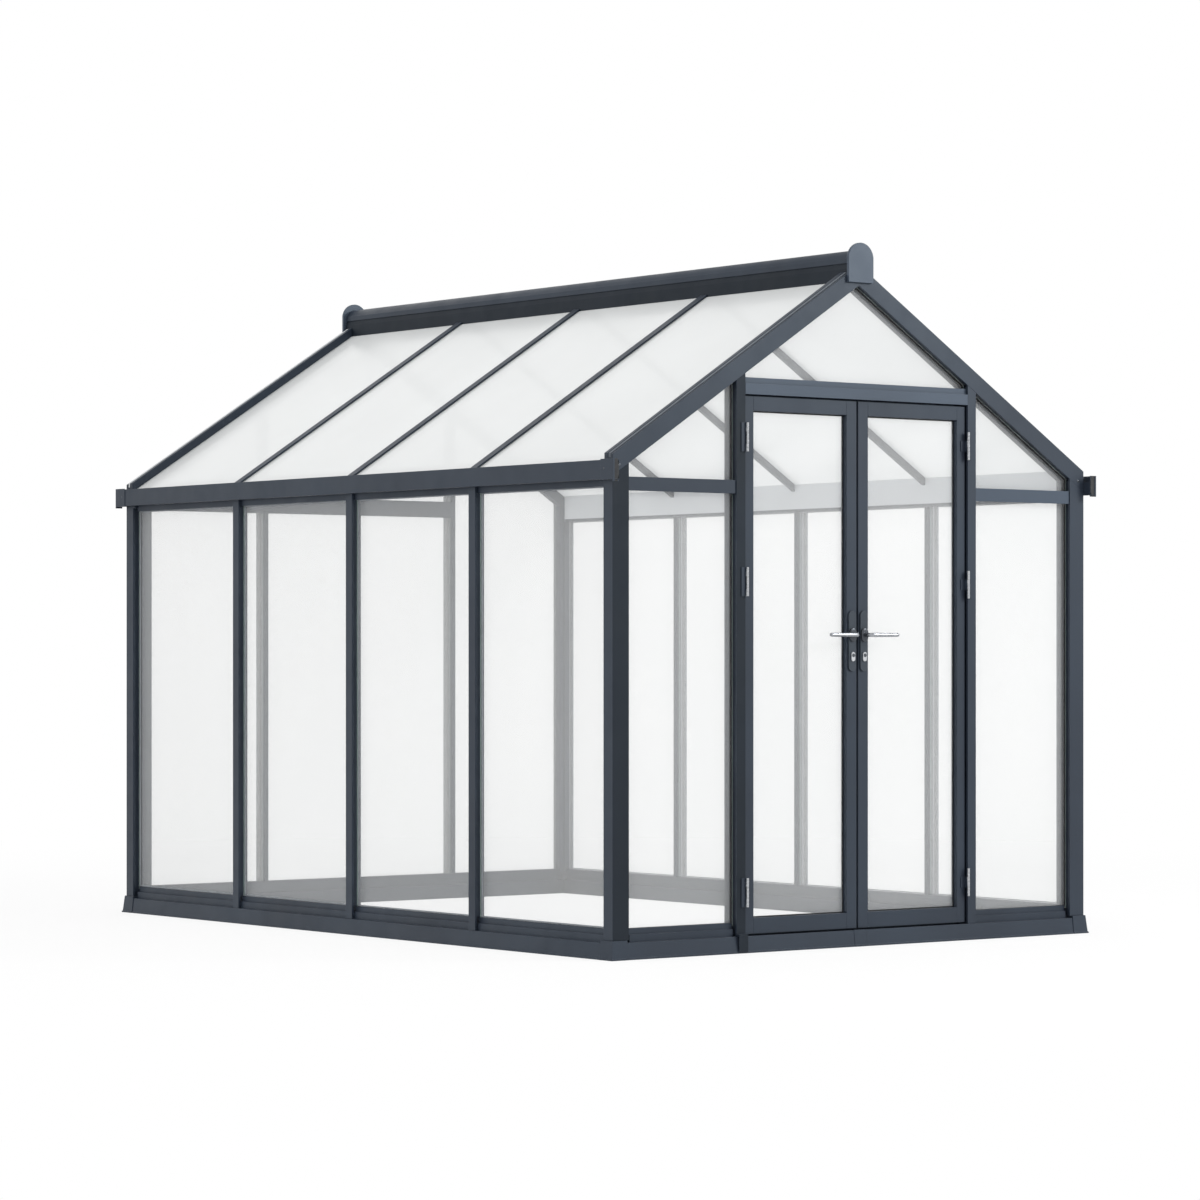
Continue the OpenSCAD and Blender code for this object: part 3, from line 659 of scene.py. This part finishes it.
gutterX = -cadLow.x - screw["gutterSink"]
gutterY = gableY - screw["gutterIn"]
gutterMid = (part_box("gutter_left")[0].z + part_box("gutter_left")[1].z) / 2
gutterZ = gutterMid + screw["gutterUp"]
rafterX = wallX - screw["rafterIn"]
rafterZ = roofZ(rafterX, screw["rafterDrop"])
ends = [(s, e) for s in (-1, 1) for e in (-1, 1)]
gutterPlaces = [((s * gutterX, e * gutterY, gutterZ), (s, 0, 0)) for s, e in ends]
rafterPlaces = [((s * rafterX, e * gableY, rafterZ), (0, e, 0)) for s, e in ends]
makeScrews("gutterScrews", "house", gutterPlaces, screw["gutterSize"])
makeScrews("rafterScrews", "house", rafterPlaces)
print("screws driven")


# hinges, locks and levers

hinges = {
    "barrelRadius": 0.0062,
}

for side, s in sideOf.items():
    axisAt = Vector(joints["door_" + side + "_swing"]["pos_m"])
    for node in (nodes["door_" + side + "_hinges"], nodes["hinges_fixed"]):
        if not node.data.materials or node.data.materials[0] is not hingeSteel:
            setFinishes(node, [hingeSteel, framePaint])
            for face in node.data.polygons:
                face.material_index = 1
        for face in node.data.polygons:
            away = math.hypot(face.center.x - axisAt.x, face.center.y - axisAt.y)
            if away < hinges["barrelRadius"]:
                face.material_index = 0

lock = {
    "collarWide": 0.0155,
    "collarTall": 0.0245,
    "collarThick": 0.007,
    "cylinderDrop": 0.077,
    "cylinderRadius": 0.0085,
    "cylinderHalf": 0.008,
    "cylinderFront": 0.0112,
    "cylinderSink": 0.0005,
    "cylinderSkin": 0.0002,   # stands out over the plain cylinder by this much
    "cylinderEdge": 0.001,
    "plateFront": 0.006,
    "plugRadius": 0.0068,
    "plugUp": 0.6,            # of the cylinder's half height
    "plugLayers": ((0, 0), (0.0008, 0.0003), (0.0008, 0.0014), (0.0003, 0.0016)),   # height, less radius
    "slotHalf": (0.0007, 0.0035),   # half the key slot's width and height
    "slotFrom": 0.0005,       # the slot lies between these, out of the cylinder's face
    "slotTo": 0.0002,
    "neckHole": 0.0076,
    "collarLayers": ((0.0, -0.0002), (0.0, 0.0045), (-0.0016, 0.0062)),   # growth and height
    "collarTop": -0.004,
    "softEdge": 0.0012,
    "sides": 32,
}


def ovalRing(x, y, z, radius, half, sides):
    # an upright oval in the plane y: two half circles, half above and half below z
    ring = []
    for i in range(sides):
        a = 2 * math.pi * (i + 0.5) / sides
        shift = half if math.sin(a) > 0 else -half
        ring.append(Vector((x + radius * math.cos(a), y, z + shift + radius * math.sin(a))))
    return ring


def makeKeyCylinder(side, spindle):
    mesh = bmesh.new()
    z = spindle.z - lock["cylinderDrop"]
    back = doorFace - lock["plateFront"] + lock["cylinderSink"]
    front = doorFace - lock["cylinderFront"]
    radius = lock["cylinderRadius"] + lock["cylinderSkin"]
    half = lock["cylinderHalf"]
    edge = lock["cylinderEdge"]
    rings = [ovalRing(spindle.x, back, z, radius, half, lock["sides"]),
             ovalRing(spindle.x, front + edge, z, radius, half, lock["sides"]),
             ovalRing(spindle.x, front, z, radius - edge, half, lock["sides"])]
    addTube(mesh, rings)
    makePiece("keyCylinder" + side.title(), mesh, "door_" + side, cylinderSteel)
    # the plug that the key turns, with its slot
    mesh = bmesh.new()
    middle = Vector((spindle.x, front, z + half * lock["plugUp"]))
    across = Vector((1, 0, 0))
    out = Vector((0, -1, 0))
    rings = []
    for stands, less in lock["plugLayers"]:
        rings.append(ringAt(middle + out * stands, out, across, lock["plugRadius"] - less, lock["sides"]))
    addTube(mesh, rings)
    makePiece("keyPlug" + side.title(), mesh, "door_" + side, screwSteel)
    # the key slot is a black block on the plug: painted shade for the dark inside the keyhole
    mesh = bmesh.new()
    wide, tall = lock["slotHalf"]
    addBlock(mesh, middle + Vector((-wide, -lock["slotFrom"], -tall)),
             middle + Vector((wide, -lock["slotTo"], tall)))
    makePiece("keySlotPaintedShade" + side.title(), mesh, "door_" + side, sealBlack)


def makeCollar(side, spindle):
    # the oval rose under a lever, with a hole for its neck
    mesh = bmesh.new()
    plate = doorFace - lock["plateFront"]
    tall = lock["collarTall"] - lock["collarWide"]
    rings = []
    for grow, out in (*lock["collarLayers"], (lock["collarTop"], lock["collarThick"])):
        rings.append(ovalRing(spindle.x, plate - out, spindle.z, lock["collarWide"] + grow, tall,
                              lock["sides"]))
    for out in (lock["collarThick"], lock["collarLayers"][0][1]):
        rings.append(ovalRing(spindle.x, plate - out, spindle.z, lock["neckHole"], 0, lock["sides"]))
    addTube(mesh, rings + rings[:1], openEnds=True)
    bmesh.ops.remove_doubles(mesh, verts=mesh.verts[:], dist=joinWithin / 2)
    makePiece("leverRose" + side.title(), mesh, "door_" + side, roseSteel)


lever = {
    "neckRadius": 0.0068,
    "gripRadius": 0.0078,
    "tipRadius": 0.0068,
    "reach": 0.0400,          # from the leaf's face to the middle of the grip
    "bend": 0.014,
    "length": 0.134,
    "neckFrom": 0.0005,       # the neck's first rings, out of the leaf's face
    "neckNext": 0.012,
    "bendSteps": 8,
    "gripRings": (0.25, 0.5, 0.75, 0.93),   # shares of the grip's length
    "tipSteps": 5,
    "sides": 24,
}


def makeLever(side, s, spindle):
    # a neck out of the rose, an elbow, and a grip towards the hinge side
    mesh = bmesh.new()
    away = Vector((s, 0, 0))
    out = Vector((0, -1, 0))
    up = Vector((0, 0, 1))
    face = Vector((spindle.x, doorFace, spindle.z))
    rings = []
    for d in (lever["neckFrom"], lever["neckNext"], lever["reach"] - lever["bend"]):
        rings.append(ringAt(face + out * d, out, up, lever["neckRadius"], lever["sides"]))
    elbow = face + out * (lever["reach"] - lever["bend"]) + away * lever["bend"]
    for i in range(1, lever["bendSteps"] + 1):
        a = math.pi / 2 * i / lever["bendSteps"]
        heading = (out * math.cos(a) + away * math.sin(a)).normalized()
        middle = elbow - away * (lever["bend"] * math.cos(a)) + out * (lever["bend"] * math.sin(a))
        r = lever["neckRadius"] + (lever["gripRadius"] - lever["neckRadius"]) * i / lever["bendSteps"]
        rings.append(ringAt(middle, heading, up, r, lever["sides"]))
    start = elbow + out * lever["bend"]
    end = lever["length"] - lever["bend"]
    for t in lever["gripRings"]:
        r = lever["gripRadius"] + (lever["tipRadius"] - lever["gripRadius"]) * t
        rings.append(ringAt(start + away * (end * t), away, up, r, lever["sides"]))
    for i in range(lever["tipSteps"]):            # rounded tip
        a = math.pi / 2 * i / lever["tipSteps"]
        along = end - lever["tipRadius"] * (1 - math.sin(a))
        rings.append(ringAt(start + away * along, away, up,
                            lever["tipRadius"] * math.cos(a), lever["sides"]))
    addTube(mesh, rings)
    piece = makePiece("leverGrip" + side.title(), mesh, "handle_" + side, polishedSteel)
    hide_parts("lever_" + side)


for side, s in sideOf.items():
    spindle = Vector(joints["handle_" + side + "_turn"]["pos_m"])
    setFinishes(nodes["door_" + side + "_lock"], [platePaint])
    softenNode(nodes["door_" + side + "_lock"], lock["softEdge"])
    makeKeyCylinder(side, spindle)
    makeCollar(side, spindle)
    makeLever(side, s, spindle)
print("door furniture fitted")


# stage

floor = {
    "half": 60,
    "shade": "f6f6f6",
    "rough": 0.9,
    "shadowShare": 0.84,
    "fadeFrom": 2.6,          # metres from the middle of the house
    "fadeTo": 7.0,
}


def layFloor():
    mesh = bmesh.new()
    bmesh.ops.create_grid(mesh, x_segments=1, y_segments=1, size=floor["half"])
    data = bpy.data.meshes.new("studioFloor")
    mesh.to_mesh(data)
    mesh.free()
    piece = bpy.data.objects.new("studioFloor", data)
    bpy.context.scene.collection.objects.link(piece)
    finish, tree, shader = newFinish("floorSheet")
    shader.inputs["Base Color"].default_value = (*fromHex(floor["shade"]), 1)
    shader.inputs["Roughness"].default_value = floor["rough"]
    shader.inputs["Specular IOR Level"].default_value = 0.0
    glow = tree.nodes.new("ShaderNodeEmission")
    mix = tree.nodes.new("ShaderNodeMixShader")
    seen = addSeenByEye(tree)
    share = tree.nodes.new("ShaderNodeMath")
    share.operation = "MULTIPLY"
    coords = tree.nodes.new("ShaderNodeTexCoord")
    reach = tree.nodes.new("ShaderNodeVectorMath")
    reach.operation = "LENGTH"
    fade = tree.nodes.new("ShaderNodeMapRange")
    fade.interpolation_type = "SMOOTHSTEP"
    fade.inputs["From Min"].default_value = floor["fadeFrom"]
    fade.inputs["From Max"].default_value = floor["fadeTo"]
    fade.inputs["To Min"].default_value = floor["shadowShare"]
    fade.inputs["To Max"].default_value = 1.0
    tree.links.new(coords.outputs["Object"], reach.inputs[0])
    tree.links.new(reach.outputs["Value"], fade.inputs["Value"])
    tree.links.new(fade.outputs["Result"], share.inputs[1])
    tree.links.new(seen, share.inputs[0])
    tree.links.new(share.outputs["Value"], mix.inputs["Fac"])
    tree.links.new(shader.outputs["BSDF"], mix.inputs[1])
    tree.links.new(glow.outputs["Emission"], mix.inputs[2])
    tree.links.new(mix.outputs["Shader"], tree.nodes["Material Output"].inputs["Surface"])
    data.materials.append(finish)


def addSeenByEye(tree):
    # 1 for rays that reach the eye straight, off a glossy surface or through glass
    path = tree.nodes.new("ShaderNodeLightPath")
    first = tree.nodes.new("ShaderNodeMath")
    first.operation = "MAXIMUM"
    tree.links.new(path.outputs["Is Camera Ray"], first.inputs[0])
    tree.links.new(path.outputs["Is Glossy Ray"], first.inputs[1])
    both = tree.nodes.new("ShaderNodeMath")
    both.operation = "MAXIMUM"
    tree.links.new(first.outputs["Value"], both.inputs[0])
    tree.links.new(path.outputs["Is Transmission Ray"], both.inputs[1])
    return both.outputs["Value"]


sky = {
    "ambient": 0.85,
}


def setSky():
    world = bpy.data.worlds.new("studioSky")
    world.use_nodes = True
    tree = world.node_tree
    tree.nodes.clear()
    soft = tree.nodes.new("ShaderNodeBackground")
    soft.inputs["Strength"].default_value = sky["ambient"]
    white = tree.nodes.new("ShaderNodeBackground")
    white.inputs["Strength"].default_value = 1.0
    for background in (soft, white):
        background.inputs["Color"].default_value = (1, 1, 1, 1)
    mix = tree.nodes.new("ShaderNodeMixShader")
    tree.links.new(addSeenByEye(tree), mix.inputs["Fac"])
    tree.links.new(soft.outputs["Background"], mix.inputs[1])
    tree.links.new(white.outputs["Background"], mix.inputs[2])
    out = tree.nodes.new("ShaderNodeOutputWorld")
    tree.links.new(mix.outputs["Shader"], out.inputs["Surface"])
    bpy.context.scene.world = world


lamps = {
    "frontHigh": {
        "place": (4.6, -6.5, 4.5),
        "aim": (0.2, -1.6, 2.0),
        "size": 2.2,
        "watts": 230,
        "shines": True,       # shows in glossy faces
    },
    "leftSoft": {
        "place": (-7.5, -3.0, 4.0),
        "aim": (-1.0, 0.0, 1.0),
        "size": 4.0,
        "watts": 60,
        "shines": False,
    },
    "above": {
        "place": (0.0, 0.5, 8.0),
        "aim": (0.0, 0.0, 0.0),
        "size": 6.0,
        "watts": 60,
        "shines": False,
    },
}


def hangLamps():
    for name, lamp in lamps.items():
        light = bpy.data.lights.new(name, "AREA")
        light.shape = "SQUARE"
        light.size = lamp["size"]
        light.energy = lamp["watts"]
        holder = bpy.data.objects.new(name, light)
        bpy.context.scene.collection.objects.link(holder)
        holder.location = lamp["place"]
        towards = Vector(lamp["aim"]) - Vector(lamp["place"])
        holder.rotation_euler = towards.to_track_quat("-Z", "Y").to_euler()
        holder.visible_camera = False
        holder.visible_glossy = lamp["shines"]


eye = {
    "place": (-9.342, -12.277, 1.043),
    "turn": 37.46,            # degrees from the ridge line towards the right
    "lens": 120.3,
    "shiftUp": 0.0425,
    "filmWide": 36,
    "farthest": 200,
}


def setEye():
    camera = bpy.data.cameras.new("eye")
    camera.lens = eye["lens"]
    camera.sensor_width = eye["filmWide"]
    camera.shift_y = eye["shiftUp"]
    camera.clip_end = eye["farthest"]
    holder = bpy.data.objects.new("eye", camera)
    bpy.context.scene.collection.objects.link(holder)
    holder.location = eye["place"]
    holder.rotation_euler = (math.radians(90), 0, -math.radians(eye["turn"]))
    bpy.context.scene.camera = holder


layFloor()
setSky()
hangLamps()
setEye()
bpy.context.scene.view_settings.view_transform = "Standard"
print("stage set")
